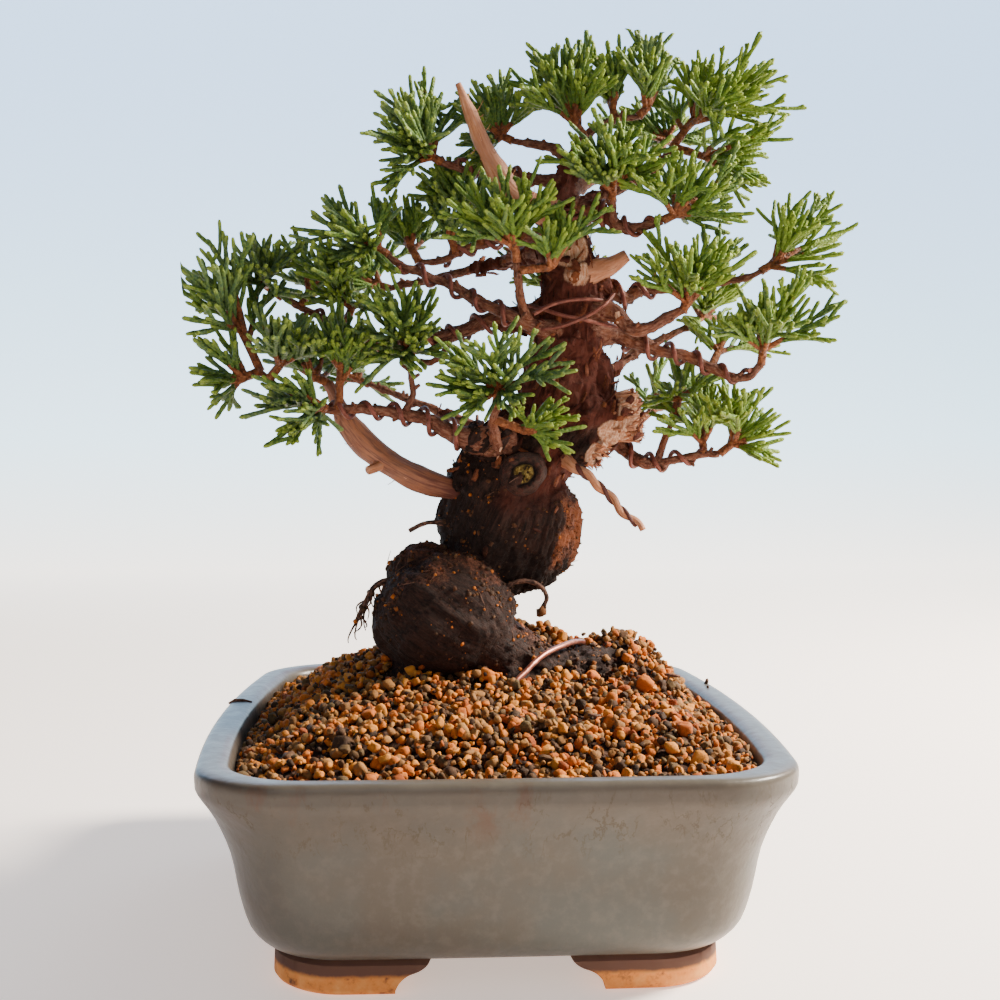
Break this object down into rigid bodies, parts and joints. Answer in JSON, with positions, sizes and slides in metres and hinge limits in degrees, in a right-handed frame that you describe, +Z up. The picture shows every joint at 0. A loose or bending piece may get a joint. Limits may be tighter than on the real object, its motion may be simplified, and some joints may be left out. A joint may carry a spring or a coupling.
{
  "type": "potted bonsai tree",
  "caption": "Wired conifer bonsai with a gnarled trunk and tufts of scale foliage, standing in a filled rounded rectangular glazed pot on low feet.",
  "frame": {"origin": "Under the middle of the whole's bounding box, on the plane that the pot's feet stand on. The middle of the pot is 11.3 mm to the left of it, because the foliage reaches further to the right.", "axes": "+Z up the trunk, +X to the viewer's right across the pot's narrow way, +Y away from the viewer along the pot's long way."},
  "size_m": [0.1658, 0.1576, 0.2152],
  "materials": {
    "glaze": "gloss celadon glaze over brown clay",
    "soil": "matte loose grains",
    "bark": "rough flaking bark and bare dead wood",
    "foliage": "satin green scale leaves",
    "wire": "satin copper-brown anodised",
    "netting": "matte"
  },
  "bodies": {
    "root": {"drain_net_back": "netting", "drain_net_front": "netting", "foot_back_left": "glaze", "foot_back_right": "glaze", "foot_front_left": "glaze", "foot_front_right": "glaze", "pot": "glaze", "soil": "soil", "spray_back_base_pad": "foliage", "spray_back_high_pad": "foliage", "spray_back_left_pad": "foliage", "spray_back_low_pad": "foliage", "spray_back_mid_pad": "foliage", "spray_back_right_pad": "foliage", "spray_crown_a": "foliage", "spray_crown_b": "foliage", "spray_crown_c": "foliage", "spray_crown_left_pad": "foliage", "spray_crown_right_pad": "foliage", "spray_crown_right_skirt": "foliage", "spray_front_crown": "foliage", "spray_front_fingers": "foliage", "spray_front_high_tuft": "foliage", "spray_front_tuft": "foliage", "spray_high_left_back": "foliage", "spray_high_left_pad": "foliage", "spray_high_left_tip": "foliage", "spray_jin_side": "foliage", "spray_left_back_heart": "foliage", "spray_left_heart": "foliage", "spray_left_low_tip": "foliage", "spray_left_riser": "foliage", "spray_left_skirt": "foliage", "spray_left_tip": "foliage", "spray_low_spray": "foliage", "spray_mid_left_heart": "foliage", "spray_mid_left_reach": "foliage", "spray_mid_left_tip": "foliage", "spray_mid_left_tuft": "foliage", "spray_mid_spikes": "foliage", "spray_right_base_heart": "foliage", "spray_right_base_pad": "foliage", "spray_right_base_riser": "foliage", "spray_right_high_pad": "foliage", "spray_right_inner": "foliage", "spray_right_low_pad": "foliage", "spray_right_mid_pad": "foliage", "spray_right_tip": "foliage", "tie_wire": "wire", "trunk_and_limbs": "bark", "wire_crown_right": "wire", "wire_high_left": "wire", "wire_left_back": "wire", "wire_left_high": "wire", "wire_left_low": "wire", "wire_left_mid": "wire", "wire_right_high": "wire", "wire_right_low": "wire", "wire_right_low_mid": "wire", "wire_right_mid_back": "wire"}
  },
  "joints": []
}
